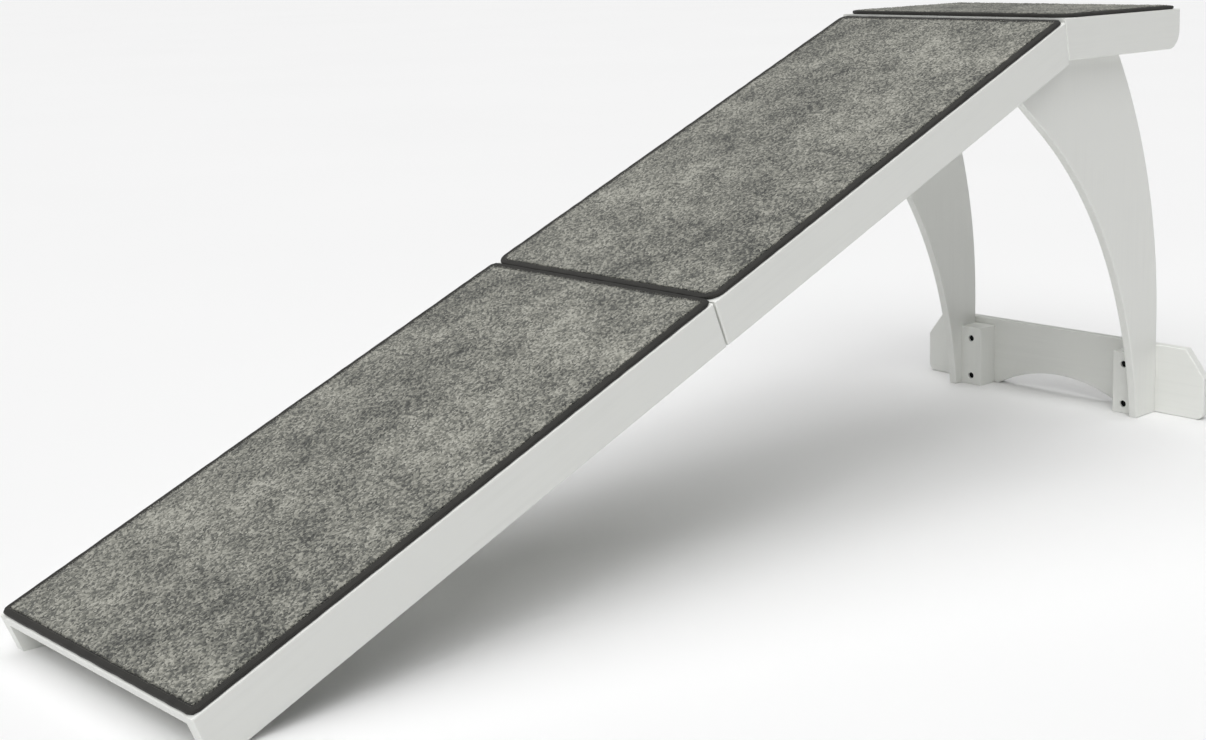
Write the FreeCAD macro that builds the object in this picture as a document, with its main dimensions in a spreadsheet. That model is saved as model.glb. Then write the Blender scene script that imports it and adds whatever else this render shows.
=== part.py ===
import FreeCAD, Part
import os
import Sketcher

# Folding wooden ramp for a dog, from the floor up to a bed.  Two ramp halves are hinged
# together under their shared seam; the upper half carries a level platform on two curved
# legs, which a wide foot brace ties together at the floor.
#
# Overall frame: +X runs up the ramp, +Z is up, and the origin is on the floor in the middle
# of the overall box.  Ramp pieces are drawn in a sloping frame: X along the slope from the
# toe's top edge and Z square to the walking surface, which is Z = 0.  Level pieces are drawn
# in a frame that starts on the floor under the toe.

Vector = FreeCAD.Vector

DRIVING_SIZES = (
    # alias, millimetres or degrees
    ("incline_deg", 22.1),
    ("ramp_width", 406),
    ("rail_thick", 16),
    ("rail_depth", 60),
    ("deck_thick", 10),
    ("toe_height", 43),
    ("lower_length", 774),
    ("seam_gap", 3),
    ("platform_height", 633),
    ("platform_length", 308),
    ("ridge_step", 6),
    ("mitre_gap", 0.4),
    ("platform_end_round", 28),
    ("edge_round", 2),
    # cross pieces under the decks
    ("batten_width", 40),
    ("batten_depth", 18),
    ("toe_batten_setback", 30),
    ("cross_rail_thick", 18),
    # legs
    ("leg_thick", 14),
    ("leg_spacer", 7.5),
    ("leg_reach", 83.3),
    ("leg_tail", 176.6),
    ("leg_front_deg", 37.8),
    ("leg_shin_deg", 82.1),
    ("leg_back_deg", 58.3),
    ("leg_head_room", 4),
    ("leg_corner_round", 18),
    ("foot_width", 53),
    ("foot_setback", 6),
    ("foot_front_straight", 39),
    ("foot_back_straight", 142),
    # foot brace and its blocks
    ("brace_width", 526),
    ("brace_height", 109),
    ("brace_thick", 16),
    ("brace_clip_across", 32),
    ("brace_clip_down", 43),
    ("brace_corner_round", 13),
    ("arch_width", 236),
    ("arch_height", 31),
    ("block_width", 39),
    ("block_depth", 39),
    ("block_height", 98),
    # carpets and their sewn edge tapes
    ("carpet_thick", 5),
    ("tape_height", 5.5),
    ("tape_width", 10),
    ("tape_inset", 1.5),
    ("soft_clear", 0.3),
    ("carpet_toe_inset", 2),
    ("carpet_seam_overhang", 1.3),
    ("carpet_ridge_inset", 1.5),
    ("platform_carpet_front", 3),
    ("platform_carpet_back", 10),
    ("tape_corner", 10),
    ("tape_corner_wide", 22),
    ("tape_corner_platform", 30),
    # bolts, inserts and washers
    ("bolt_dia", 6),
    ("bolt_hole_dia", 6.4),
    ("insert_dia", 9),
    ("insert_length", 12),
    ("fit_clear", 0.05),
    ("leg_bolt_drop", 38),
    ("leg_bolt_near", 32),
    ("leg_bolt_pitch", 70),
    ("leg_bolt_head_dia", 11),
    ("leg_bolt_head", 3.3),
    ("spacer_dia", 18),
    ("brace_bolt_low", 15),
    ("brace_bolt_pitch", 64),
    ("brace_bolt_head_dia", 10),
    ("brace_bolt_head", 6),
    ("counterbore_dia", 10.6),
    ("counterbore_depth", 9),
    ("ridge_bolt_across", 110),
    ("ridge_bolt_drop", 36),
    ("washer_dia", 16),
    ("washer_thick", 1.5),
    ("nut_across", 10),
    ("nut_thick", 5),
    # dowels and deck screws
    ("dowel_dia", 8),
    ("dowel_in_rail", 10),
    ("dowel_in_batten", 18),
    ("block_dowel_depth", 12),
    ("dowel_edge", 12),
    ("screw_dia", 3.5),
    ("screw_head_dia", 7),
    ("screw_head", 2),
    ("deck_screw_length", 24),
    ("deck_screw_across", 120),
    # butt hinges under the seam
    ("hinge_across", 110),
    ("leaf_width", 60),
    ("leaf_height", 30),
    ("leaf_thick", 1.2),
    ("knuckle_radius", 3.6),
    ("knuckle_gap", 0.3),
    ("hinge_drop", 4.4),
    ("pin_dia", 3),
    ("pin_head", 1),
    ("leaf_screw_pitch", 20),
    ("leaf_screw_head_dia", 6.2),
    ("leaf_screw_length", 14),
)

# Places worked out from the driving sizes, each as one expression.
WORKED_OUT = (
    ("sine", "sin(dims.incline_deg)"),
    ("cosine", "cos(dims.incline_deg)"),
    ("mitre", "tan(dims.incline_deg / 2)"),
    ("outer", "dims.ramp_width / 2"),
    ("inner", "dims.ramp_width / 2 - dims.rail_thick"),
    ("toe_face", "dims.toe_height / derived.cosine"),
    ("toe_flat_end", "(dims.rail_depth * derived.cosine - dims.toe_height) / derived.sine"),
    ("upper_start", "dims.lower_length + dims.seam_gap"),
    ("ridge_x", "(dims.platform_height - dims.ridge_step - dims.toe_height)"
                " * derived.cosine / derived.sine"),
    ("ridge_along", "derived.ridge_x / derived.cosine"),
    ("platform_front", "derived.ridge_x - dims.ridge_step * derived.mitre + dims.mitre_gap"),
    ("platform_back", "derived.platform_front + dims.platform_length"),
    ("foot_back", "derived.platform_back - dims.foot_setback"),
    ("foot_front", "derived.foot_back - dims.foot_width"),
    ("overall_length", "derived.foot_back + dims.brace_thick"),
    ("leg_outer", "derived.inner - dims.leg_spacer"),
    ("leg_inner", "derived.leg_outer - dims.leg_thick"),
    ("leg_drop", "dims.deck_thick + dims.leg_head_room"),
    # The leg's front edge: a straight brow from the ramp, an arc, and a straight shin.
    ("brow_slope", "tan(dims.leg_front_deg)"),
    ("shin_slope", "tan(dims.leg_shin_deg)"),
    ("brow_x", "derived.ridge_x - dims.leg_reach"),
    ("brow_z", "dims.toe_height + derived.brow_x * derived.sine / derived.cosine"
               " - dims.rail_depth / derived.cosine"),
    ("knee_x", "(derived.brow_z + derived.brow_slope * derived.brow_x"
               " - derived.shin_slope * derived.foot_front)"
               " / (derived.brow_slope - derived.shin_slope)"),
    ("knee_z", "derived.shin_slope * (derived.foot_front - derived.knee_x)"),
    ("front_tangent", "derived.knee_z / sin(dims.leg_shin_deg) - dims.foot_front_straight"),
    ("front_radius", "derived.front_tangent"
                     " / tan((dims.leg_shin_deg - dims.leg_front_deg) / 2)"),
    ("brow_end_x", "derived.knee_x - derived.front_tangent * cos(dims.leg_front_deg)"),
    ("brow_end_z", "derived.knee_z + derived.front_tangent * sin(dims.leg_front_deg)"),
    ("shin_top_x", "derived.foot_front"
                   " - dims.foot_front_straight * cos(dims.leg_shin_deg)"),
    ("shin_top_z", "dims.foot_front_straight * sin(dims.leg_shin_deg)"),
    # Its back edge: straight behind the platform rail, an arc, and a vertical heel.
    ("tail_slope", "tan(dims.leg_back_deg)"),
    ("tail_x", "derived.ridge_x + dims.leg_tail"),
    ("tail_z", "dims.platform_height - dims.rail_depth"),
    ("calf_z", "derived.tail_z - derived.tail_slope * (derived.foot_back - derived.tail_x)"),
    ("back_tangent", "derived.calf_z - dims.foot_back_straight"),
    ("back_radius", "derived.back_tangent / tan((90 - dims.leg_back_deg) / 2)"),
    ("tail_end_x", "derived.foot_back - derived.back_tangent * cos(dims.leg_back_deg)"),
    ("tail_end_z", "derived.calf_z + derived.back_tangent * sin(dims.leg_back_deg)"),
    # The leg's top corners, hidden between the rails.
    ("leg_top_z", "dims.platform_height - derived.leg_drop"),
    ("leg_top_back_x", "derived.tail_x - (derived.leg_top_z - derived.tail_z)"
                       " / derived.tail_slope"),
    ("under_deck_z", "dims.toe_height - derived.leg_drop / derived.cosine"),
    ("leg_ridge_x", "(derived.leg_top_z - derived.under_deck_z)"
                    " * derived.cosine / derived.sine"),
    ("leg_top_front_x", "(derived.brow_z + derived.brow_slope * derived.brow_x"
                        " - derived.under_deck_z)"
                        " / (derived.brow_slope + derived.sine / derived.cosine)"),
    ("leg_top_front_z", "derived.brow_z"
                        " + derived.brow_slope * (derived.brow_x - derived.leg_top_front_x)"),
    # Foot brace, blocks and hinge.
    ("arch_radius", "(dims.arch_width * dims.arch_width / 4"
                    " + dims.arch_height * dims.arch_height) / (2 * dims.arch_height)"),
    ("block_front", "derived.foot_back - dims.block_depth"),
    ("block_inner", "derived.leg_inner - dims.block_width"),
    ("block_middle", "derived.leg_inner - dims.block_width / 2"),
    ("ridge_bolt_x", "derived.platform_front + dims.ridge_bolt_drop * derived.mitre"),
    ("ridge_bolt_z", "dims.platform_height - dims.ridge_bolt_drop"),
    ("ridge_bolt_depth", "derived.ridge_bolt_x * derived.sine"
                         " - (derived.ridge_bolt_z - dims.toe_height) * derived.cosine"),
    ("hinge_along", "dims.lower_length + dims.seam_gap / 2"),
    ("hinge_depth", "dims.rail_depth + dims.hinge_drop"),
)

doc = FreeCAD.newDocument("bed_ramp")


# ---------------------------------------------------------------- sizes

dims = doc.addObject("Spreadsheet::Sheet", "dims")
for row, (alias, value) in enumerate(DRIVING_SIZES, start=1):
    dims.set(f"A{row}", alias.replace("_", " "))
    dims.set(f"B{row}", str(value))
    dims.setAlias(f"B{row}", alias)
doc.recompute()

derived = doc.addObject("App::VarSet", "derived")
for name, expression in WORKED_OUT:
    derived.addProperty("App::PropertyFloat", name)
    derived.setExpression(name, expression)
    derived.recompute()
doc.recompute()


def number(expression):
    """The value of an expression in the sheet's and the worked-out names."""
    return float(derived.evalExpression(str(expression)))


LEVEL = FreeCAD.Placement(Vector(-derived.overall_length / 2, 0, 0), FreeCAD.Rotation())
SLOPE = FreeCAD.Placement(
    Vector(-derived.overall_length / 2, 0, dims.toe_height),
    FreeCAD.Rotation(Vector(0, -1, 0), dims.incline_deg),
)

nodes = []


# ---------------------------------------------------------------- drawing helpers

def new_body(label, placement):
    body = doc.addObject("PartDesign::Body", label)
    body.Label = label
    body.Placement = placement
    nodes.append(body)
    return body


def new_sketch(body, name, role, offset):
    """An empty sketch on one of the body's own planes, moved along its normal."""
    sketch = body.newObject("Sketcher::SketchObject", name)
    plane = [item for item in body.Origin.OriginFeatures if item.Role == role][0]
    sketch.AttachmentSupport = [(plane, "")]
    sketch.MapMode = "FlatFace"
    sketch.setExpression("AttachmentOffset.Base.z", str(offset))
    return sketch


def bind(sketch, kind, first, second, expression):
    """A distance from the sketch's origin to a point, held by an expression."""
    value = number(expression)
    index = sketch.addConstraint(Sketcher.Constraint(kind, -1, 1, first, second, value))
    sketch.setExpression(f"Constraints[{index}]", str(expression))


def draw_outline(sketch, corners, arcs=()):
    """A closed outline.  Each corner is two expressions; arcs names the sides that bend,
    as {corner number: (radius expression, +1 to bulge left of the way round, or -1)}."""
    arcs = dict(arcs)
    points = [Vector(number(across), number(up), 0) for across, up in corners]
    count = len(points)
    starts = []
    for index, start in enumerate(points):
        end = points[(index + 1) % count]
        if index in arcs:
            radius, bulge = number(arcs[index][0]), arcs[index][1]
            chord = end - start
            sag = radius - (radius ** 2 - (chord.Length / 2) ** 2) ** 0.5
            sideways = Vector(-chord.y, chord.x, 0).normalize() * sag * bulge
            middle = (start + end) * 0.5 + sideways
            sketch.addGeometry(Part.Arc(start, middle, end), False)
            # A sketch keeps every arc anticlockwise, so a left bulge swaps its ends.
            starts.append((2, 1) if bulge > 0 else (1, 2))
        else:
            sketch.addGeometry(Part.LineSegment(start, end), False)
            starts.append((1, 2))
    for index in range(count):
        after = (index + 1) % count
        sketch.addConstraint(
            Sketcher.Constraint("Coincident", index, starts[index][1], after, starts[after][0]))
    for index, (across, up) in enumerate(corners):
        bind(sketch, "DistanceX", index, starts[index][0], across)
        bind(sketch, "DistanceY", index, starts[index][0], up)
    for index, (radius, _) in arcs.items():
        place = sketch.addConstraint(Sketcher.Constraint("Radius", index, number(radius)))
        sketch.setExpression(f"Constraints[{place}]", str(radius))
    return sketch


def draw_holes(sketch, centres, diameter):
    """One circle for each centre, every size and place held by an expression."""
    for index, (across, up) in enumerate(centres):
        centre = Vector(number(across), number(up), 0)
        circle = Part.Circle(centre, Vector(0, 0, 1), number(diameter) / 2)
        sketch.addGeometry(circle, False)
        bind(sketch, "DistanceX", index, 3, across)
        bind(sketch, "DistanceY", index, 3, up)
        place = sketch.addConstraint(
            Sketcher.Constraint("Diameter", index, number(diameter)))
        sketch.setExpression(f"Constraints[{place}]", str(diameter))
    return sketch


def pad(body, name, sketch, length, both_ways=False, flipped=False):
    feature = body.newObject("PartDesign::Pad", name)
    feature.Profile = sketch
    feature.setExpression("Length", str(length))
    feature.SideType = "Symmetric" if both_ways else "One side"
    feature.Reversed = flipped
    body.Tip = feature
    doc.recompute()
    return feature


def pocket(body, name, sketch, depth, along_normal):
    """A blind cut from the sketch, which has to take some wood away."""
    before = body.Shape.Volume
    feature = body.newObject("PartDesign::Pocket", name)
    feature.Profile = sketch
    feature.setExpression("Length", str(depth))
    feature.Reversed = along_normal
    body.Tip = feature
    doc.recompute()
    if not before - body.Shape.Volume > 1e-3:
        raise RuntimeError(f"{body.Label}: {name} cuts nothing")
    return feature


def fillet(body, name, radius, chosen):
    """Rounds every edge that the test picks; the test gets the edge in the body's frame."""
    base = body.Tip
    edges = [f"Edge{index}" for index, edge in enumerate(base.Shape.Edges, start=1)
             if chosen(edge)]
    if not edges:
        raise RuntimeError(f"{body.Label}: {name} finds no edge")
    feature = body.newObject("PartDesign::Fillet", name)
    feature.Base = (base, edges)
    feature.setExpression("Radius", str(radius))
    body.Tip = feature
    doc.recompute()
    return feature


def ends(edge):
    return [vertex.Point for vertex in edge.Vertexes]


def near(first, second):
    return abs(first - second) < 1e-4


def runs_across(edge, along, up):
    """True for an edge parallel to Y that crosses the given place."""
    points = ends(edge)
    return (len(points) == 2 and near(points[0].x, points[1].x)
            and near(points[0].z, points[1].z)
            and near(points[0].x, along) and near(points[0].z, up))


def stands_at(edge, spots):
    """True for an upright edge over one of the given places."""
    points = ends(edge)
    return (len(points) == 2 and near(points[0].x, points[1].x)
            and near(points[0].y, points[1].y)
            and any(near(points[0].x, x) and near(points[0].y, y) for x, y in spots))


# Sketches on the XZ plane face -Y, so the right side (-Y) lies along their normal.
SIDES = (("right", 1), ("left", -1))


def side_board(label, placement, side, corners, inner, thick, arcs=()):
    """A board that stands lengthwise, its inner face a set distance from the middle."""
    body = new_body(label, placement)
    sketch = new_sketch(body, "outline", "XZ_Plane", f"{side} * ({inner})")
    draw_outline(sketch, corners, arcs)
    pad(body, "board", sketch, thick, flipped=side < 0)
    return body


def bore_side(body, name, side, face, centres, diameter, depth):
    """Holes into a side board from its inner face, away from the middle."""
    sketch = new_sketch(body, name, "XZ_Plane", f"{side} * ({face})")
    draw_holes(sketch, centres, diameter)
    pocket(body, name + "_cut", sketch, depth, along_normal=side > 0)


def cross_piece(label, placement, corners, width="2 * derived.inner"):
    """A piece that spans from rail to rail, drawn as its end section."""
    body = new_body(label, placement)
    sketch = new_sketch(body, "section", "XZ_Plane", 0)
    draw_outline(sketch, corners)
    pad(body, "span", sketch, width, both_ways=True)
    return body


def bore_ends(body, centres, end="derived.inner"):
    """Dowel holes into both ends of a cross piece, whose ends are set from the middle."""
    diameter = "dims.dowel_dia + 2 * dims.fit_clear"
    for name, side in SIDES:
        sketch = new_sketch(body, f"{name}_dowels", "XZ_Plane", f"{side} * {end}")
        draw_holes(sketch, centres, diameter)
        pocket(body, f"{name}_dowels_cut", sketch, "dims.dowel_in_batten + 0.5",
               along_normal=side < 0)


def drill_up(body, name, level, centres, diameter, depth):
    """Holes upward from a level face, for the screws that hold a deck down."""
    sketch = new_sketch(body, name, "XY_Plane", level)
    draw_holes(sketch, centres, diameter)
    pocket(body, name + "_cut", sketch, depth, along_normal=True)


def group(label, placement, solids):
    """Identical fasteners as one node: each stays a solid of its own."""
    feature = doc.addObject("Part::Feature", label)
    feature.Label = label
    feature.Shape = Part.makeCompound(solids)
    feature.Placement = placement
    nodes.append(feature)
    return feature


def rod(start, axis, length, diameter, bore=0):
    """A round bar, or a ring when it has a bore."""
    solid = Part.makeCylinder(diameter / 2, length, start, axis)
    if bore:
        solid = solid.cut(Part.makeCylinder(bore / 2, length, start, axis))
    return solid


def headed(start, axis, head_dia, head, shank_dia, shank):
    """A bolt whose head's top is at start and whose shank points along the axis."""
    top = Part.makeCylinder(head_dia / 2, head, start, axis)
    bar = Part.makeCylinder(shank_dia / 2, head / 2 + shank, start + axis * (head / 2), axis)
    return top.fuse(bar).removeSplitter()


def countersunk(start, axis, head_dia, head, shank_dia, length):
    """A wood screw whose flat head's face is at start."""
    cone = Part.makeCone(head_dia / 2, shank_dia / 2, head, start, axis)
    bar = Part.makeCylinder(shank_dia / 2, length - head, start + axis * head, axis)
    return cone.fuse(bar).removeSplitter()


RIGHTWARD = Vector(0, -1, 0)
UPWARD = Vector(0, 0, 1)
FORWARD = Vector(1, 0, 0)


# ---------------------------------------------------------------- lower ramp

RAMP_BOTTOM = "-dims.rail_depth"
DECK_BOTTOM = "-dims.deck_thick"
BATTEN_BOTTOM = "-dims.deck_thick - dims.batten_depth"
BATTEN_MIDDLE = "-dims.deck_thick - dims.batten_depth / 2"
UPPER_DOWEL = "-dims.deck_thick - dims.dowel_edge"
LOWER_DOWEL = "-dims.rail_depth + dims.dowel_edge"


def batten_dowel(start, width="dims.batten_width"):
    return [(f"{start} + {width} / 2", BATTEN_MIDDLE)]


def rail_dowels(middle):
    return [(middle, UPPER_DOWEL), (middle, LOWER_DOWEL)]


TOE_BATTEN = "dims.toe_batten_setback"
LOWER_BATTEN = "dims.lower_length / 2 - dims.batten_width / 2"
LOWER_CROSS = "dims.lower_length - dims.cross_rail_thick / 2"
lower_dowel_spots = (batten_dowel(TOE_BATTEN) + batten_dowel(LOWER_BATTEN)
                     + rail_dowels(LOWER_CROSS))


def rail_edges(outer_face, drawn_bottom):
    """Picks the outer face's own edges and the inner bottom edge of a side rail."""
    def chosen(edge):
        points = ends(edge)
        if len(points) != 2:
            return False
        on_face = all(near(abs(point.y), outer_face) for point in points)
        inner_bottom = all(near(point.z, drawn_bottom) for point in points) and near(
            points[0].y, points[1].y)
        return on_face or inner_bottom
    return chosen


for name, side in SIDES:
    rail = side_board(
        f"lower_rail_{name}", SLOPE, side,
        [("0", "0"), ("0", "-derived.toe_face"), ("derived.toe_flat_end", RAMP_BOTTOM),
         ("dims.lower_length", RAMP_BOTTOM), ("dims.lower_length", "0")],
        "derived.inner", "dims.rail_thick")
    bore_side(rail, "dowel_holes", side, "derived.inner", lower_dowel_spots,
              "dims.dowel_dia + 2 * dims.fit_clear", "dims.dowel_in_rail + 0.5")
    fillet(rail, "eased_edges", "dims.edge_round",
           rail_edges(derived.outer, -dims.rail_depth))


def deck_screw_spots(start, width="dims.batten_width"):
    return [(f"{start} + {width} / 2", f"{across} * dims.deck_screw_across")
            for across in (-1, 0, 1)]


LOWER_SCREWED = (TOE_BATTEN, LOWER_BATTEN)
SCREW_HOLE = "dims.screw_dia + 2 * dims.fit_clear"
SCREW_IN_DECK = "dims.deck_screw_length - dims.batten_depth + 0.5"


def drill_deck(deck, starts, level):
    spots = [spot for start in starts for spot in deck_screw_spots(start)]
    drill_up(deck, "screw_holes", level, spots, SCREW_HOLE, SCREW_IN_DECK)


def batten(label, placement, start, level):
    """A flat strip under a deck, dowelled to the rails and screwed up into the deck."""
    stop = f"{start} + dims.batten_width"
    body = cross_piece(label, placement, [
        (start, f"{level} - dims.batten_depth"), (stop, f"{level} - dims.batten_depth"),
        (stop, level), (start, level)])
    bore_ends(body, [(f"{start} + dims.batten_width / 2", f"{level} - dims.batten_depth / 2")])
    drill_up(body, "screw_holes", f"{level} - dims.batten_depth", deck_screw_spots(start),
             SCREW_HOLE, "dims.batten_depth + 1")
    drill_up(body, "head_seats", f"{level} - dims.batten_depth", deck_screw_spots(start),
             "dims.screw_head_dia + 2 * dims.fit_clear", "dims.screw_head")
    return body


lower_deck = cross_piece("lower_deck", SLOPE, [
    ("0", DECK_BOTTOM), ("dims.lower_length", DECK_BOTTOM),
    ("dims.lower_length", "0"), ("0", "0")])
drill_deck(lower_deck, LOWER_SCREWED, DECK_BOTTOM)
fillet(lower_deck, "eased_toe", "dims.edge_round", lambda edge: runs_across(edge, 0, 0))

batten("toe_batten", SLOPE, TOE_BATTEN, DECK_BOTTOM)
batten("lower_batten", SLOPE, LOWER_BATTEN, DECK_BOTTOM)


def leaf_screw_spots():
    """Across and down places of the screws in both hinges' leaves."""
    return [(f"{side} * dims.hinge_across + {step} * dims.leaf_screw_pitch",
             "-dims.rail_depth + dims.leaf_height / 2")
            for side in (-1, 1) for step in (-1, 0, 1)]


def hinge_rail(label, start, face, into_rail):
    """The cross rail at the seam, with pilot holes for the hinge screws."""
    stop = f"{start} + dims.cross_rail_thick"
    body = cross_piece(label, SLOPE, [
        (start, RAMP_BOTTOM), (stop, RAMP_BOTTOM), (stop, DECK_BOTTOM), (start, DECK_BOTTOM)])
    bore_ends(body, rail_dowels(f"{start} + dims.cross_rail_thick / 2"))
    sketch = new_sketch(body, "hinge_screw_holes", "YZ_Plane", face)
    draw_holes(sketch, leaf_screw_spots(), SCREW_HOLE)
    pocket(body, "hinge_screw_cut", sketch, "dims.leaf_screw_length + 0.5",
           along_normal=into_rail)
    return body


hinge_rail("lower_hinge_rail", "dims.lower_length - dims.cross_rail_thick",
           "dims.lower_length", into_rail=False)


# ---------------------------------------------------------------- upper ramp

UPPER_BATTEN = ("derived.upper_start"
                " + (derived.ridge_along - derived.upper_start - dims.batten_width) / 2")
UPPER_CROSS = "derived.upper_start + dims.cross_rail_thick / 2"
RIDGE_TOP = "derived.ridge_along - dims.deck_thick * derived.mitre"
RIDGE_BOTTOM = "derived.ridge_along - dims.rail_depth * derived.mitre"
RIDGE_THICK = "dims.cross_rail_thick"


def ridge_dowels(sign, front, level):
    """Dowel places in a cross rail that leans along the mitre."""
    return [
        (f"{front} {sign} dims.cross_rail_thick / 2 {sign} ({depth}) * derived.mitre",
         f"{level} - ({depth})")
        for depth in ("dims.deck_thick + dims.dowel_edge", "dims.rail_depth - dims.dowel_edge")]


upper_ridge_dowels = ridge_dowels("-", "derived.ridge_along", "0")
upper_dowel_spots = rail_dowels(UPPER_CROSS) + batten_dowel(UPPER_BATTEN)

# The legs bolt to both rails on each side, below the decks.
ramp_bolt_spots = [
    (f"derived.ridge_along - dims.leg_bolt_near - {step} * dims.leg_bolt_pitch",
     "-dims.leg_bolt_drop") for step in (0, 1)]
platform_bolt_spots = [
    (f"derived.platform_front + dims.leg_bolt_near + {step} * dims.leg_bolt_pitch",
     "dims.platform_height - dims.leg_bolt_drop") for step in (0, 1)]
INSERT_HOLE = "dims.insert_dia + 2 * dims.fit_clear"

for name, side in SIDES:
    rail = side_board(
        f"upper_rail_{name}", SLOPE, side,
        [("derived.upper_start", "0"), ("derived.upper_start", RAMP_BOTTOM),
         (RIDGE_BOTTOM, RAMP_BOTTOM), ("derived.ridge_along", "0")],
        "derived.inner", "dims.rail_thick")
    bore_side(rail, "dowel_holes", side, "derived.inner", upper_dowel_spots,
              "dims.dowel_dia + 2 * dims.fit_clear", "dims.dowel_in_rail + 0.5")
    bore_side(rail, "insert_holes", side, "derived.inner", ramp_bolt_spots,
              INSERT_HOLE, "dims.insert_length + 0.5")
    fillet(rail, "eased_edges", "dims.edge_round",
           rail_edges(derived.outer, -dims.rail_depth))

upper_deck = cross_piece("upper_deck", SLOPE, [
    ("derived.upper_start", DECK_BOTTOM), (RIDGE_TOP, DECK_BOTTOM),
    ("derived.ridge_along", "0"), ("derived.upper_start", "0")])
drill_deck(upper_deck, (UPPER_BATTEN,), DECK_BOTTOM)

hinge_rail("upper_hinge_rail", "derived.upper_start", "derived.upper_start", into_rail=True)
batten("upper_batten", SLOPE, UPPER_BATTEN, DECK_BOTTOM)


def bolt_hole_across(body, sign, reach, height, lean_deg):
    """Holes square to the mitre through a leaning cross rail, for the ridge bolts."""
    sketch = new_sketch(body, "bolt_holes", "YZ_Plane", reach)
    sketch.setExpression("AttachmentOffset.Base.y", height)
    offset = sketch.AttachmentOffset
    sketch.AttachmentOffset = FreeCAD.Placement(
        offset.Base, FreeCAD.Rotation(Vector(1, 0, 0), lean_deg))
    draw_holes(sketch, [(f"{step} * dims.ridge_bolt_across", "0") for step in (-1, 1)],
               "dims.bolt_hole_dia")
    pocket(body, "bolt_holes_cut", sketch, "dims.cross_rail_thick * 2",
           along_normal=sign == "+")


ridge_rail = cross_piece("ridge_rail", SLOPE, [
    (f"{RIDGE_BOTTOM} - {RIDGE_THICK}", RAMP_BOTTOM), (RIDGE_BOTTOM, RAMP_BOTTOM),
    (RIDGE_TOP, DECK_BOTTOM), (f"{RIDGE_TOP} - {RIDGE_THICK}", DECK_BOTTOM)],
    "2 * derived.leg_inner")
bore_ends(ridge_rail, upper_ridge_dowels, "derived.leg_inner")
bolt_hole_across(ridge_rail, "-",
                 "derived.ridge_along - derived.ridge_bolt_depth * derived.mitre",
                 "-derived.ridge_bolt_depth", dims.incline_deg / 2)


# ---------------------------------------------------------------- platform

PLATFORM_TOP = "dims.platform_height"
PLATFORM_DECK_BOTTOM = "dims.platform_height - dims.deck_thick"
PLATFORM_BOTTOM = "dims.platform_height - dims.rail_depth"
FRONT_TOP = "derived.platform_front + dims.deck_thick * derived.mitre"
FRONT_BOTTOM = "derived.platform_front + dims.rail_depth * derived.mitre"
BACK_CROSS = "derived.platform_back - dims.cross_rail_thick / 2 - dims.platform_end_round"
back_dowels = [
    (BACK_CROSS, "dims.platform_height - dims.deck_thick - dims.dowel_edge"),
    (BACK_CROSS, "dims.platform_height - dims.rail_depth + dims.dowel_edge")]
platform_front_dowels = ridge_dowels("+", "derived.platform_front", "dims.platform_height")

for name, side in SIDES:
    rail = side_board(
        f"platform_rail_{name}", LEVEL, side,
        [("derived.platform_front", PLATFORM_TOP), (FRONT_BOTTOM, PLATFORM_BOTTOM),
         ("derived.platform_back", PLATFORM_BOTTOM),
         ("derived.platform_back", PLATFORM_TOP)],
        "derived.inner", "dims.rail_thick")
    bottom = dims.platform_height - dims.rail_depth
    fillet(rail, "round_end", "dims.platform_end_round",
           lambda edge: runs_across(edge, derived.platform_back, bottom))
    bore_side(rail, "dowel_holes", side, "derived.inner", back_dowels,
              "dims.dowel_dia + 2 * dims.fit_clear", "dims.dowel_in_rail + 0.5")
    bore_side(rail, "insert_holes", side, "derived.inner", platform_bolt_spots,
              INSERT_HOLE, "dims.insert_length + 0.5")
    fillet(rail, "eased_edges", "dims.edge_round", rail_edges(derived.outer, bottom))

cross_piece("platform_deck", LEVEL, [
    (FRONT_TOP, PLATFORM_DECK_BOTTOM), ("derived.platform_back", PLATFORM_DECK_BOTTOM),
    ("derived.platform_back", PLATFORM_TOP), ("derived.platform_front", PLATFORM_TOP)])

platform_front_rail = cross_piece("platform_front_rail", LEVEL, [
    (FRONT_BOTTOM, PLATFORM_BOTTOM), (f"{FRONT_BOTTOM} + {RIDGE_THICK}", PLATFORM_BOTTOM),
    (f"{FRONT_TOP} + {RIDGE_THICK}", PLATFORM_DECK_BOTTOM),
    (FRONT_TOP, PLATFORM_DECK_BOTTOM)],
    "2 * derived.leg_inner")
bore_ends(platform_front_rail, platform_front_dowels, "derived.leg_inner")
bolt_hole_across(platform_front_rail, "+", "derived.ridge_bolt_x", "derived.ridge_bolt_z",
                 -dims.incline_deg / 2)

BACK_START = "derived.platform_back - dims.cross_rail_thick - dims.platform_end_round"
platform_back_rail = cross_piece("platform_back_rail", LEVEL, [
    (BACK_START, PLATFORM_BOTTOM), (f"{BACK_START} + dims.cross_rail_thick", PLATFORM_BOTTOM),
    (f"{BACK_START} + dims.cross_rail_thick", PLATFORM_DECK_BOTTOM),
    (BACK_START, PLATFORM_DECK_BOTTOM)])
bore_ends(platform_back_rail, back_dowels)


# ---------------------------------------------------------------- legs and foot

def level_spots(spots):
    """Places in the sloping frame, given in the level one."""
    return [(f"({along}) * derived.cosine - ({up}) * derived.sine",
             f"dims.toe_height + ({along}) * derived.sine + ({up}) * derived.cosine")
            for along, up in spots]


leg_bolt_spots = level_spots(ramp_bolt_spots) + platform_bolt_spots
# The two cross rails at the ridge fit between the legs and are dowelled to them.
ridge_dowel_spots = level_spots(upper_ridge_dowels) + platform_front_dowels
block_dowel_spots = [
    (f"derived.block_front + dims.block_depth * {share}", "dims.block_height / 2")
    for share in (0.3, 0.75)]

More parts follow.
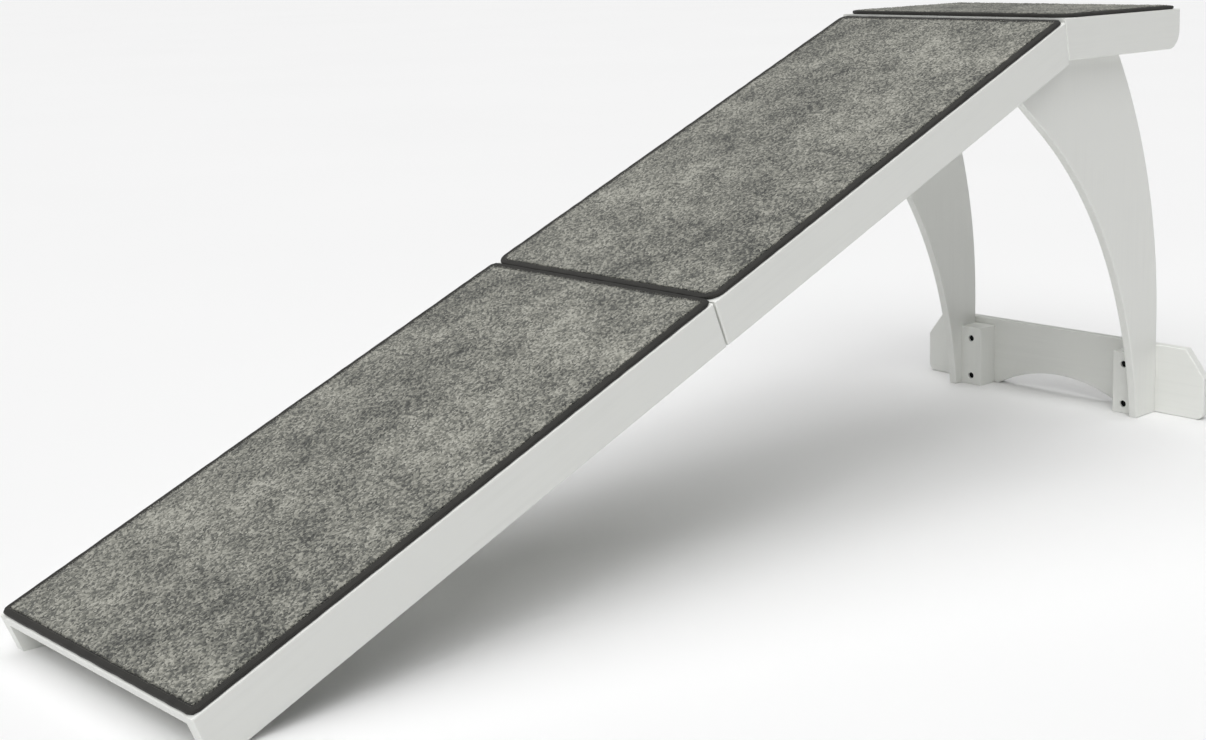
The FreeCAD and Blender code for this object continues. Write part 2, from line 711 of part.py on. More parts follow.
for name, side in SIDES:
    leg = side_board(
        f"leg_{name}", LEVEL, side,
        [("derived.foot_front", "0"), ("derived.foot_back", "0"),
         ("derived.foot_back", "dims.foot_back_straight"),
         ("derived.tail_end_x", "derived.tail_end_z"),
         ("derived.leg_top_back_x", "derived.leg_top_z"),
         ("derived.leg_ridge_x", "derived.leg_top_z"),
         ("derived.leg_top_front_x", "derived.leg_top_front_z"),
         ("derived.brow_end_x", "derived.brow_end_z"),
         ("derived.shin_top_x", "derived.shin_top_z")],
        "derived.leg_inner", "dims.leg_thick",
        arcs={2: ("derived.back_radius", -1), 7: ("derived.front_radius", 1)})
    fillet(leg, "top_corners", "dims.leg_corner_round",
           lambda edge: runs_across(edge, derived.leg_top_back_x, derived.leg_top_z)
           or runs_across(edge, derived.leg_top_front_x, derived.leg_top_front_z))
    bore_side(leg, "bolt_holes", side, "derived.leg_inner", leg_bolt_spots,
              "dims.bolt_hole_dia", "dims.leg_thick + 1")
    bore_side(leg, "dowel_holes", side, "derived.leg_inner",
              block_dowel_spots + ridge_dowel_spots,
              "dims.dowel_dia + 2 * dims.fit_clear", "dims.dowel_in_rail + 0.5")

    def leg_face_edges(edge):
        points = ends(edge)
        return (len(points) == 2 and near(points[0].y, points[1].y)
                and edge.Length > dims.bolt_dia)

    fillet(leg, "eased_edges", "dims.edge_round", leg_face_edges)

brace_bolt_heights = ("dims.brace_bolt_low", "dims.brace_bolt_low + dims.brace_bolt_pitch")

for name, side in SIDES:
    block = new_body(f"leg_block_{name}", LEVEL)
    outline = new_sketch(block, "outline", "XZ_Plane", f"{side} * derived.block_inner")
    draw_outline(outline, [
        ("derived.block_front", "0"), ("derived.foot_back", "0"),
        ("derived.foot_back", "dims.block_height"),
        ("derived.block_front", "dims.block_height")])
    pad(block, "block", outline, "dims.block_width", flipped=side < 0)
    centres = [(f"{-side} * derived.block_middle", height) for height in brace_bolt_heights]
    for hole, diameter, depth in (
            ("bolt_holes", "dims.bolt_hole_dia", "dims.block_depth + 1"),
            ("counterbores", "dims.counterbore_dia", "dims.counterbore_depth")):
        sketch = new_sketch(block, hole, "YZ_Plane", "derived.block_front")
        draw_holes(sketch, centres, diameter)
        pocket(block, hole + "_cut", sketch, depth, along_normal=True)
    sketch = new_sketch(block, "dowel_holes", "XZ_Plane", f"{side} * derived.leg_inner")
    draw_holes(sketch, block_dowel_spots, "dims.dowel_dia + 2 * dims.fit_clear")
    pocket(block, "dowel_holes_cut", sketch, "dims.block_dowel_depth + 0.5",
           along_normal=side < 0)

    def block_edges(edge):
        points = ends(edge)
        if len(points) != 2:
            return False
        on_front = all(near(point.x, derived.block_front) for point in points)
        on_inner = all(near(abs(point.y), derived.block_inner) for point in points)
        on_top = all(near(point.z, dims.block_height) for point in points)
        return on_front + on_inner + on_top == 2

    fillet(block, "eased_edges", "dims.edge_round", block_edges)

brace = new_body("foot_brace", LEVEL)
outline = new_sketch(brace, "outline", "YZ_Plane", "derived.foot_back")
HALF = "dims.brace_width / 2"
draw_outline(outline, [
    ("dims.arch_width / 2", "0"), (HALF, "0"),
    (HALF, "dims.brace_height - dims.brace_clip_down"),
    (f"{HALF} - dims.brace_clip_across", "dims.brace_height"),
    (f"-{HALF} + dims.brace_clip_across", "dims.brace_height"),
    (f"-{HALF}", "dims.brace_height - dims.brace_clip_down"),
    (f"-{HALF}", "0"), ("-dims.arch_width / 2", "0")],
    arcs={7: ("derived.arch_radius", 1)})
pad(brace, "board", outline, "dims.brace_thick")
centres = [(f"{side} * derived.block_middle", height)
           for _, side in SIDES for height in brace_bolt_heights]
sketch = new_sketch(brace, "insert_holes", "YZ_Plane", "derived.foot_back")
draw_holes(sketch, centres, INSERT_HOLE)
pocket(brace, "insert_holes_cut", sketch, "dims.insert_length + 0.5", along_normal=True)
half_brace = dims.brace_width / 2


def brace_bottom_corners(edge):
    points = ends(edge)
    return (len(points) == 2 and all(near(abs(point.y), half_brace) for point in points)
            and all(near(point.z, 0) for point in points))


def brace_face_edges(edge):
    points = ends(edge)
    return (len(points) == 2 and near(points[0].x, points[1].x)
            and edge.Length > dims.insert_dia)


fillet(brace, "foot_corners", "dims.brace_corner_round", brace_bottom_corners)
fillet(brace, "eased_edges", "dims.edge_round", brace_face_edges)


# ---------------------------------------------------------------- carpets and edge tapes

def rounded_sheet(label, placement, start, stop, half, level, height, corners):
    """A flat pad with rounded corners: (radius at the start, radius at the stop)."""
    body = new_body(label, placement)
    outline = new_sketch(body, "outline", "XY_Plane", f"{level}")
    draw_outline(outline, [(start, f"-({half})"), (stop, f"-({half})"),
                           (stop, half), (start, half)])
    pad(body, "sheet", outline, height)
    round_corners(body, "", start, stop, half, corners)
    return body


def round_corners(body, suffix, start, stop, half, corners):
    wide = number(half)
    for name, place, radius in (("start", start, corners[0]), ("stop", stop, corners[1])):
        spots = [(number(place), -wide), (number(place), wide)]
        fillet(body, f"{name}_corners{suffix}", radius,
               lambda edge, spots=spots: stands_at(edge, spots))


def carpet_and_tape(name, placement, start, stop, level, corners):
    """A cut-pile pad on the deck, and the tape sewn round it, each a solid of its own."""
    half = "derived.outer - dims.tape_inset"
    tape_in = "dims.tape_width"
    carpet_in = "(dims.tape_width + dims.soft_clear)"
    base = f"{level} + dims.soft_clear"
    tape = rounded_sheet(f"{name}_carpet_tape", placement, start, stop, half, base,
                         "dims.tape_height", corners)
    hole = new_sketch(tape, "opening", "XY_Plane", base)
    draw_outline(hole, [
        (f"{start} + {tape_in}", f"-({half} - {tape_in})"),
        (f"{stop} - {tape_in}", f"-({half} - {tape_in})"),
        (f"{stop} - {tape_in}", f"{half} - {tape_in}"),
        (f"{start} + {tape_in}", f"{half} - {tape_in}")])
    pocket(tape, "opening_cut", hole, "dims.tape_height", along_normal=True)
    inner_corners = [f"max({corner} - dims.tape_width; 2)" for corner in corners]
    round_corners(tape, "_inside", f"{start} + {tape_in}", f"{stop} - {tape_in}",
                  f"{half} - {tape_in}", inner_corners)
    rounded_sheet(f"{name}_carpet", placement, f"{start} + {carpet_in}",
                  f"{stop} - {carpet_in}", f"{half} - {carpet_in}", base,
                  "dims.carpet_thick", inner_corners)


carpet_and_tape("lower", SLOPE, "dims.carpet_toe_inset",
                "dims.lower_length + dims.carpet_seam_overhang", "0",
                ("dims.tape_corner", "dims.tape_corner"))
carpet_and_tape("upper", SLOPE, "derived.upper_start - dims.carpet_seam_overhang",
                "derived.ridge_along - dims.carpet_ridge_inset", "0",
                ("dims.tape_corner_wide", "dims.tape_corner"))
carpet_and_tape("platform", LEVEL, "derived.platform_front + dims.platform_carpet_front",
                "derived.platform_back - dims.platform_carpet_back",
                "dims.platform_height",
                ("dims.tape_corner_platform", "dims.tape_corner"))


# ---------------------------------------------------------------- dowels and screws

def cross_dowels(spots, seam=derived.inner, inside=dims.dowel_in_batten):
    """Dowels that cross the seam between a side piece and the piece inside it."""
    length = dims.dowel_in_rail + inside
    solids = []
    for along, up in spots:
        for side in (-1, 1):
            start = Vector(number(along), side * (seam + dims.dowel_in_rail), number(up))
            solids.append(rod(start, Vector(0, -side, 0), length, dims.dowel_dia))
    return solids


def deck_screws(starts, level):
    solids = []
    for start in starts:
        for along, across in deck_screw_spots(start):
            head = Vector(number(along), number(across), number(level))
            solids.append(countersunk(head, UPWARD, dims.screw_head_dia, dims.screw_head,
                                      dims.screw_dia, dims.deck_screw_length))
    return solids


group("lower_dowels", SLOPE, cross_dowels(lower_dowel_spots))
group("upper_dowels", SLOPE, cross_dowels(upper_dowel_spots))
group("platform_dowels", LEVEL, cross_dowels(back_dowels))
group("ridge_dowels", LEVEL, cross_dowels(ridge_dowel_spots, derived.leg_inner))
group("block_dowels", LEVEL, cross_dowels(block_dowel_spots, derived.leg_inner,
                                          dims.block_dowel_depth))
group("lower_deck_screws", SLOPE, deck_screws(LOWER_SCREWED, BATTEN_BOTTOM))
group("upper_deck_screws", SLOPE, deck_screws((UPPER_BATTEN,), BATTEN_BOTTOM))

# ---------------------------------------------------------------- bolts

insert_bore = dims.bolt_dia + 2 * dims.fit_clear
leg_bolts = []
leg_spacers = []
leg_inserts = []
leg_bolt_reach = dims.leg_thick + dims.leg_spacer + dims.insert_length - 1
for along, up in leg_bolt_spots:
    for side in (-1, 1):
        outward = Vector(0, side, 0)
        middle = Vector(number(along), 0, number(up))
        leg_bolts.append(headed(
            middle + outward * (derived.leg_inner - dims.leg_bolt_head), outward,
            dims.leg_bolt_head_dia, dims.leg_bolt_head, dims.bolt_dia, leg_bolt_reach))
        leg_spacers.append(rod(middle + outward * derived.leg_outer, outward,
                               dims.leg_spacer, dims.spacer_dia, dims.bolt_hole_dia))
        leg_inserts.append(rod(middle + outward * derived.inner, outward,
                               dims.insert_length, dims.insert_dia, insert_bore))
group("leg_bolts", LEVEL, leg_bolts)
group("leg_spacers", LEVEL, leg_spacers)
group("leg_inserts", LEVEL, leg_inserts)

brace_bolts = []
brace_inserts = []
head_top = derived.block_front + dims.counterbore_depth - dims.brace_bolt_head
brace_bolt_reach = dims.block_depth - dims.counterbore_depth + dims.insert_length - 1
for height in brace_bolt_heights:
    for side in (-1, 1):
        across = side * derived.block_middle
        brace_bolts.append(headed(
            Vector(head_top, across, number(height)), FORWARD, dims.brace_bolt_head_dia,
            dims.brace_bolt_head, dims.bolt_dia, brace_bolt_reach))
        brace_inserts.append(rod(
            Vector(derived.foot_back, across, number(height)), FORWARD,
            dims.insert_length, dims.insert_dia, insert_bore))
group("brace_bolts", LEVEL, brace_bolts)
group("brace_inserts", LEVEL, brace_inserts)

# Ridge bolts run square to the mitre, through the ridge rail and the platform's front rail.
lean = dims.incline_deg / 2
bolt_axis = FreeCAD.Rotation(Vector(0, -1, 0), lean).multVec(FORWARD)
board = dims.cross_rail_thick * bolt_axis.x
ridge_bolts = []
ridge_washers = []
ridge_nuts = []
for side in (-1, 1):
    joint = Vector(derived.ridge_bolt_x, side * dims.ridge_bolt_across, derived.ridge_bolt_z)
    tail = joint - bolt_axis * (board + dims.mitre_gap)
    nose = joint + bolt_axis * board
    ridge_washers.append(rod(tail - bolt_axis * dims.washer_thick, bolt_axis,
                             dims.washer_thick, dims.washer_dia, dims.bolt_hole_dia))
    ridge_washers.append(rod(nose, bolt_axis, dims.washer_thick, dims.washer_dia,
                             dims.bolt_hole_dia))
    head = tail - bolt_axis * (dims.washer_thick + dims.brace_bolt_head)
    grip = 2 * board + dims.mitre_gap + 2 * dims.washer_thick + dims.nut_thick + 2
    ridge_bolts.append(headed(head, bolt_axis, dims.brace_bolt_head_dia,
                              dims.brace_bolt_head, dims.bolt_dia, grip))
    hexagon = Part.makePolygon([
        FreeCAD.Rotation(FORWARD, 60 * turn).multVec(
            Vector(0, dims.nut_across / 3 ** 0.5, 0)) for turn in range(7)])
    nut = Part.Face(hexagon).extrude(FORWARD * dims.nut_thick)
    nut = nut.cut(rod(Vector(-1, 0, 0), FORWARD, dims.nut_thick + 2, insert_bore))
    nut.Placement = FreeCAD.Placement(nose + bolt_axis * dims.washer_thick,
                                      FreeCAD.Rotation(Vector(0, -1, 0), lean))
    ridge_nuts.append(nut)
group("ridge_bolts", LEVEL, ridge_bolts)
group("ridge_washers", LEVEL, ridge_washers)
group("ridge_nuts", LEVEL, ridge_nuts)


# ---------------------------------------------------------------- hinges

def part_box(name, corner, sizes):
    """A Part box whose corner and sizes are expressions."""
    box = doc.addObject("Part::Box", name)
    for field, expression in zip(("Length", "Width", "Height"), sizes):
        box.setExpression(field, str(expression))
    box.Placement.Base = Vector(*[number(value) for value in corner])
    return box


def part_cylinder(name, start, axis, diameter, length):
    cylinder = doc.addObject("Part::Cylinder", name)
    cylinder.setExpression("Radius", f"({diameter}) / 2")
    cylinder.setExpression("Height", str(length))
    cylinder.Placement = FreeCAD.Placement(
        Vector(*[number(value) for value in start]), FreeCAD.Rotation(UPWARD, axis))
    return cylinder


KNUCKLE = "dims.leaf_width / 5"
BARREL = "2 * dims.knuckle_radius"


def hinge_leaf(label, middle, start, knuckles, head_at_stop):
    """One leaf: a plate on the rail's end, with its own knuckles round the pin."""
    plate_low = "-dims.rail_depth - 0.3"
    pieces = [part_box(
        f"{label}_plate", (start, f"{middle} - dims.leaf_width / 2", plate_low),
        ("dims.leaf_thick", "dims.leaf_width", "dims.leaf_height + 0.3"))]
    neck_low = "-derived.hinge_depth + dims.knuckle_radius / 2"
    for place in knuckles:
        low = f"{middle} + {place} * {KNUCKLE} - {KNUCKLE} / 2 + dims.knuckle_gap / 2"
        width = f"{KNUCKLE} - dims.knuckle_gap"
        pieces.append(part_box(
            f"{label}_neck_{place + 3}", (start, low, neck_low),
            ("dims.leaf_thick", width, f"{plate_low} - ({neck_low}) + 0.1")))
        pieces.append(part_cylinder(
            f"{label}_barrel_{place + 3}", ("derived.hinge_along", low, "-derived.hinge_depth"),
            Vector(0, 1, 0), BARREL, width))
    solid = doc.addObject("Part::MultiFuse", f"{label}_solid")
    solid.Shapes = pieces
    cutters = [part_cylinder(
        f"{label}_bore", ("derived.hinge_along", f"{middle} - dims.leaf_width",
                          "-derived.hinge_depth"),
        Vector(0, 1, 0), "dims.pin_dia + 2 * dims.fit_clear", "2 * dims.leaf_width")]
    for step in (-1, 0, 1):
        cone = doc.addObject("Part::Cone", f"{label}_seat_{step + 2}")
        wide = "dims.leaf_screw_head_dia / 2 + dims.fit_clear"
        slim = "dims.screw_dia / 2 + dims.fit_clear"
        cone.setExpression("Radius1", slim if head_at_stop else wide)
        cone.setExpression("Radius2", wide if head_at_stop else slim)
        cone.setExpression("Height", "dims.leaf_thick")
        cone.Placement = FreeCAD.Placement(
            Vector(number(start), number(f"{middle} + {step} * dims.leaf_screw_pitch"),
                   number("-dims.rail_depth + dims.leaf_height / 2")),
            FreeCAD.Rotation(UPWARD, FORWARD))
        cutters.append(cone)
    cutter = doc.addObject("Part::MultiFuse", f"{label}_cutter")
    cutter.Shapes = cutters
    leaf = doc.addObject("Part::Cut", label)
    leaf.Label = label
    leaf.Base = solid
    leaf.Tool = cutter
    leaf.Placement = SLOPE
    nodes.append(leaf)


LOWER_LEAF = "dims.lower_length"
UPPER_LEAF = "derived.upper_start - dims.leaf_thick"
for name, side in SIDES:
    middle = f"{-side} * dims.hinge_across"
    hinge_leaf(f"lower_hinge_leaf_{name}", middle, LOWER_LEAF, (-2, 0, 2), True)
    hinge_leaf(f"upper_hinge_leaf_{name}", middle, UPPER_LEAF, (-1, 1), False)

pins = []
for side in (-1, 1):
    start = Vector(derived.hinge_along,
                   side * dims.hinge_across - dims.leaf_width / 2 - dims.pin_head,
                   -derived.hinge_depth)
    pin = rod(start, Vector(0, 1, 0), dims.leaf_width + 2 * dims.pin_head, dims.pin_dia)
    for offset in (0, dims.leaf_width + dims.pin_head):
        cap = rod(start + Vector(0, offset, 0), Vector(0, 1, 0), dims.pin_head,
                  dims.pin_dia + 2)
        pin = pin.fuse(cap)
    pins.append(pin.removeSplitter())
group("hinge_pins", SLOPE, pins)

for label, start, axis in (
        ("lower_hinge_screws", dims.lower_length + dims.leaf_thick, -FORWARD),
        ("upper_hinge_screws", derived.upper_start - dims.leaf_thick, FORWARD)):
    screws = []
    for across, up in leaf_screw_spots():
        screws.append(countersunk(
            Vector(start, number(across), number(up)), axis, dims.leaf_screw_head_dia,
            dims.leaf_thick, dims.screw_dia, dims.leaf_screw_length))
    group(label, SLOPE, screws)


# ---------------------------------------------------------------- checks and export

doc.recompute()
for item in doc.Objects:
    if "Invalid" in item.State or "Error" in item.State:
        raise RuntimeError(f"{item.Label} failed: {item.State}")

os.makedirs("parts", exist_ok=True)
for node in nodes:
    shape = node.Shape
    if shape.isNull() or not shape.isValid() or not shape.Solids:
        raise RuntimeError(f"{node.Label} has no valid solid")
for node in nodes:
    node.Shape.exportStep(f"parts/{node.Label}.step")
print(len(nodes), "nodes,", sum(len(node.Shape.Solids) for node in nodes), "solids")
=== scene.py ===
import math

import bpy
import numpy as np
from mathutils import Matrix, Vector


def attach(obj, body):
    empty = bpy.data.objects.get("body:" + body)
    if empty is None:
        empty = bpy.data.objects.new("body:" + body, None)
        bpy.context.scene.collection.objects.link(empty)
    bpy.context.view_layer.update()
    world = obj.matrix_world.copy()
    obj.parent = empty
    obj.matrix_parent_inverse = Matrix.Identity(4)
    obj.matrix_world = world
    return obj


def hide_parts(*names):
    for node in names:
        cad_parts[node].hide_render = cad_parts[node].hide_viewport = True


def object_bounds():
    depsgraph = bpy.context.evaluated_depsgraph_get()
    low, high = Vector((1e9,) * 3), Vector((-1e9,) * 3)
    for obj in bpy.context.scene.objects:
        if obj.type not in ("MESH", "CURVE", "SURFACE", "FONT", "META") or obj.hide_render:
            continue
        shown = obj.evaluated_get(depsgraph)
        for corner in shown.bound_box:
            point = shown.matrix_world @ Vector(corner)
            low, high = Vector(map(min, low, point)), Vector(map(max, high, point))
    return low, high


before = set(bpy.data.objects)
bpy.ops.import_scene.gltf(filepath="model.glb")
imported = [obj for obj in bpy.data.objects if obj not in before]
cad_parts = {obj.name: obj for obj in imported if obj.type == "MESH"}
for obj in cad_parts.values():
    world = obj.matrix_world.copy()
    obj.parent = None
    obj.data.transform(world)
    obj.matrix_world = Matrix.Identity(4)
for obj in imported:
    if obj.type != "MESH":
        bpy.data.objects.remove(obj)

part_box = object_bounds()

# ---- Sloping boards --------------------------------------------------------------------
# Two ramp halves, each two side rails with a deck let in between them.  They are planed pine
# boards, cut to the slope, sanded with eased edges and sprayed with satin white paint before
# they are screwed and dowelled together.
MM = 0.001


def from_hex(code):
    """A linear colour from an sRGB hex code."""
    shares = [int(code[i:i + 2], 16) / 255 for i in (0, 2, 4)]
    linear = [s / 12.92 if s <= 0.04045 else ((s + 0.055) / 1.055) ** 2.4 for s in shares]
    return linear + [1.0]


def add(tree, kind, inputs=(), stops=(), **settings):
    """Adds a shader node: settings are its choices, inputs its values or the sockets it is joined to."""
    made = tree.nodes.new("ShaderNode" + kind)
    for name, value in settings.items():
        setattr(made, name, value)
    for name, value in dict(inputs).items():
        if isinstance(value, bpy.types.NodeSocket):
            tree.links.new(value, made.inputs[name])
        else:
            made.inputs[name].default_value = value
    for number, (place, colour) in enumerate(stops):
        elements = made.color_ramp.elements
        stop = elements[number] if number < 2 else elements.new(place)
        stop.position = place
        stop.color = from_hex(colour)
    return made


def new_material(name):
    """An empty material and its node tree."""
    made = bpy.data.materials.new(name)
    made.use_nodes = True
    made.node_tree.nodes.clear()
    return made, made.node_tree


def walking_plane(node):
    """Directions along, across and up from the walking surface of a board or pad."""
    faces = [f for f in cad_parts[node].data.polygons if f.normal.z > 0.5]
    up = max(faces, key=lambda f: f.area).normal.normalized()
    across = Vector((0, 1, 0))
    return across.cross(up).normalized(), across, up


# Satin acrylic paint over planed pine: a soft sheen, a fine orange peel from the spray gun and
# the faintest trace of the grain, which runs along each board.
GRAIN_LONG = 180 * MM
GRAIN_PITCH = 5 * MM
ORANGE_PEEL = 1.6 * MM
PAINT_CLOUD = 140 * MM


def satin_paint_on_pine(name, grain_size, tilt=0.0):
    made, tree = new_material(name)
    place = add(tree, "TexCoord").outputs["Object"]
    board = add(tree, "Mapping", {"Vector": place, "Rotation": (0, -tilt, 0), "Scale": grain_size},
                vector_type="TEXTURE")
    grain = add(tree, "TexNoise", {"Vector": board.outputs[0], "Scale": 1.0, "Detail": 3.0})
    cloud = add(tree, "TexNoise", {"Vector": place, "Scale": 1 / PAINT_CLOUD, "Detail": 2.0})
    peel = add(tree, "TexNoise", {"Vector": place, "Scale": 1 / ORANGE_PEEL, "Detail": 1.0})
    shade = add(tree, "Math", {0: grain.outputs[0], 1: cloud.outputs[0]}, operation="ADD")
    colour = add(tree, "ValToRGB", {"Fac": shade.outputs[0]},
                 stops=((0.0, "E4E5E1"), (1.0, "ECEDE9")))
    sheen = add(tree, "MapRange", {"Value": cloud.outputs[0], "To Min": 0.40, "To Max": 0.52})
    relief = add(tree, "Bump", {"Height": grain.outputs[0], "Distance": 0.05 * MM, "Strength": 0.6})
    skin = add(tree, "Bump", {"Height": peel.outputs[0], "Distance": 0.012 * MM,
                              "Normal": relief.outputs[0], "Strength": 0.6})
    paint = add(tree, "BsdfPrincipled", {"Base Color": colour.outputs[0], "IOR": 1.5,
                                         "Roughness": sheen.outputs[0], "Normal": skin.outputs[0]})
    add(tree, "OutputMaterial", {"Surface": paint.outputs[0]})
    return made


def give(material, *nodes):
    """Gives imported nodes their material, in place of the plain one they came with."""
    for node in nodes:
        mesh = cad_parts[node].data
        mesh.materials.clear()
        mesh.materials.append(material)


slope_along = walking_plane("lower_deck")[0]
incline = math.atan2(slope_along.z, slope_along.x)
painted_slope = satin_paint_on_pine("satin_paint_on_sloping_pine",
                                    (GRAIN_LONG, GRAIN_PITCH, GRAIN_PITCH), incline)
give(painted_slope, "lower_rail_left", "lower_rail_right", "upper_rail_left", "upper_rail_right",
     "lower_deck", "upper_deck")

# ---- Cross pieces under the decks ------------------------------------------------------
# Battens, hinge rails and the ridge rail tie the side rails together.  They are short pine
# boards set across the ramp, with the same paint and their grain from side to side.
painted_across = satin_paint_on_pine("satin_paint_on_crossing_pine",
                                     (GRAIN_PITCH, GRAIN_LONG, GRAIN_PITCH))
give(painted_across, "toe_batten", "lower_batten", "upper_batten", "lower_hinge_rail",
     "upper_hinge_rail", "ridge_rail", "platform_front_rail", "platform_back_rail")

# ---- Level platform --------------------------------------------------------------------
# A short box of pine boards at the top, level with a bed.  It is mitred to the slope at the
# ridge and painted like the ramp halves.
painted_level = satin_paint_on_pine("satin_paint_on_level_pine",
                                    (GRAIN_LONG, GRAIN_PITCH, GRAIN_PITCH))
give(painted_level, "platform_rail_left", "platform_rail_right", "platform_deck")

# ---- Legs, blocks and foot brace -------------------------------------------------------
# The curved legs are sawn from wide glued pine boards with the grain upright.  Blocks beside
# them take the bolts of the wide foot brace, whose grain runs across.
painted_upright = satin_paint_on_pine("satin_paint_on_upright_pine",
                                      (GRAIN_PITCH, GRAIN_PITCH, GRAIN_LONG))
give(painted_upright, "leg_left", "leg_right", "leg_block_left", "leg_block_right")
give(painted_across, "foot_brace")


# ---- Hinges, washers, nuts, spacers and screws -----------------------------------------
# Two butt hinges join the halves under the seam.  They and the small fixings are mild steel,
# stamped or turned, with bright zinc plate.
PLATE_CLOUD = 6 * MM
ROLLED_LINES = 0.5 * MM


def plated_steel(name, dark, light, smoothest, roughest):
    """Plated steel: a broken reflection from the plate's fine crystals over rolled metal."""
    made, tree = new_material(name)
    place = add(tree, "TexCoord").outputs["Object"]
    cloud = add(tree, "TexNoise", {"Vector": place, "Scale": 1 / PLATE_CLOUD, "Detail": 4.0})
    lines = add(tree, "TexNoise", {"Vector": place, "Scale": 1 / ROLLED_LINES, "Detail": 2.0})
    colour = add(tree, "ValToRGB", {"Fac": cloud.outputs[0]}, stops=((0.3, dark), (0.7, light)))
    rough = add(tree, "MapRange", {"Value": cloud.outputs[0], "To Min": smoothest,
                                   "To Max": roughest})
    relief = add(tree, "Bump", {"Height": lines.outputs[0], "Distance": 0.01 * MM,
                                "Strength": 0.5})
    metal = add(tree, "BsdfPrincipled", {"Base Color": colour.outputs[0], "Metallic": 1.0,
                                         "Roughness": rough.outputs[0],
                                         "Normal": relief.outputs[0]})
    add(tree, "OutputMaterial", {"Surface": metal.outputs[0]})
    return made


bright_zinc = plated_steel("bright_zinc_plated_steel", "A9ADB0", "D2D5D6", 0.26, 0.42)
give(bright_zinc, "lower_hinge_leaf_left", "lower_hinge_leaf_right", "upper_hinge_leaf_left",
     "upper_hinge_leaf_right", "hinge_pins", "lower_hinge_screws", "upper_hinge_screws",
     "lower_deck_screws", "upper_deck_screws", "ridge_bolts", "ridge_nuts", "ridge_washers",
     "leg_spacers")

# ---- Leg and brace bolts with their inserts --------------------------------------------
# Socket-headed bolts with a black oxide finish pass through the legs and blocks into threaded
# inserts, which are die cast and yellow plated.
black_oxide = plated_steel("black_oxide_steel", "141415", "232324", 0.42, 0.58)
yellow_zinc = plated_steel("yellow_zinc_plated_inserts", "A8945C", "CDBE8B", 0.32, 0.48)
give(black_oxide, "leg_bolts", "brace_bolts")
give(yellow_zinc, "leg_inserts", "brace_inserts")


# ---- Dowels ----------------------------------------------------------------------------
# Turned beech pins, glued into the ends of the cross pieces.  Bare, closely flecked wood.
BEECH_FLECK = (1.2 * MM, 9 * MM, 1.2 * MM)
beech, tree = new_material("bare_turned_beech")
place = add(tree, "TexCoord").outputs["Object"]
board = add(tree, "Mapping", {"Vector": place, "Scale": BEECH_FLECK}, vector_type="TEXTURE")
fleck = add(tree, "TexNoise", {"Vector": board.outputs[0], "Scale": 1.0, "Detail": 4.0})
colour = add(tree, "ValToRGB", {"Fac": fleck.outputs[0]},
             stops=((0.3, "B58A5C"), (0.7, "D9B88C")))
relief = add(tree, "Bump", {"Height": fleck.outputs[0], "Distance": 0.04 * MM, "Strength": 0.5})
wood = add(tree, "BsdfPrincipled", {"Base Color": colour.outputs[0], "IOR": 1.5,
                                    "Roughness": 0.6, "Normal": relief.outputs[0]})
add(tree, "OutputMaterial", {"Surface": wood.outputs[0]})
give(beech, *[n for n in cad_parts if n.endswith("_dowels")])


# ---- Carpet pads: the pile -------------------------------------------------------------
# Three pads of needled and cut polyester pile, laid on the decks.  Each mixes light, middle
# and dark grey fibres, so it looks speckled, with clusters of darker tufts and softer painted
# shade in areas where the pile leans.
# They are cut to the board and bound round the edge.
TAPE_WIDTH = 10 * MM
PILE_STEP = 2.0 * MM
PILE_THICK = 6.0 * MM
SHOULDER = 4 * MM
TUFT = 2.6 * MM
FIBRE = 0.9 * MM
# Size of the darker areas: clusters of dark tufts, with painted shade of leaning pile over them.
LEAN_SHADE_AND_DARK_CLUSTERS = 45 * MM
BROAD_PATCH = 190 * MM

cut_pile, tree = new_material("heather_grey_cut_pile")
place = add(tree, "TexCoord").outputs["Object"]
tufts = add(tree, "TexVoronoi", {"Vector": place, "Scale": 1 / TUFT, "Randomness": 1.0})
tone = add(tree, "SeparateColor", {"Color": tufts.outputs["Color"]})
fibres = add(tree, "TexNoise", {"Vector": place, "Scale": 1 / FIBRE, "Detail": 2.0})
# Darker areas about 45 mm across: real clusters of dark tufts, and painted shade where the pile leans.
lean_shade_and_dark_clusters = add(tree, "TexNoise", {"Vector": place, "Scale": 1 / LEAN_SHADE_AND_DARK_CLUSTERS, "Detail": 3.0,
                                 "Roughness": 0.6})
tuft_tone = add(tree, "Math", {0: tone.outputs[0], 1: 0.62}, operation="MULTIPLY")
fibre_tone = add(tree, "Math", {0: fibres.outputs[0], 1: 0.55, 2: tuft_tone.outputs[0]},
                 operation="MULTIPLY_ADD")
lean_shade_and_cluster_tone = add(tree, "Math", {0: lean_shade_and_dark_clusters.outputs[0], 1: 0.70, 2: fibre_tone.outputs[0]},
                 operation="MULTIPLY_ADD")
broad = add(tree, "TexNoise", {"Vector": place, "Scale": 1 / BROAD_PATCH, "Detail": 1.0})
pile_tone = add(tree, "Math", {0: broad.outputs[0], 1: 0.50, 2: lean_shade_and_cluster_tone.outputs[0]},
                operation="MULTIPLY_ADD")
spread = add(tree, "MapRange", {"Value": pile_tone.outputs[0], "From Min": 0.78,
                                "From Max": 1.58})
pile_colour = add(tree, "ValToRGB", {"Fac": spread.outputs[0]},
                  stops=((0.0, "2A2B27"), (1.0, "B1B0A6"), (0.3, "53544E"), (0.55, "7A7A71"),
                         (0.8, "98978D")))
dome = add(tree, "Math", {0: 1.0, 1: tufts.outputs["Distance"]}, operation="SUBTRACT")
dome_relief = add(tree, "Bump", {"Height": dome.outputs[0], "Distance": 0.9 * MM,
                                 "Strength": 0.7})
fibre_relief = add(tree, "Bump", {"Height": fibres.outputs[0], "Distance": 0.4 * MM,
                                  "Strength": 0.8, "Normal": dome_relief.outputs[0]})
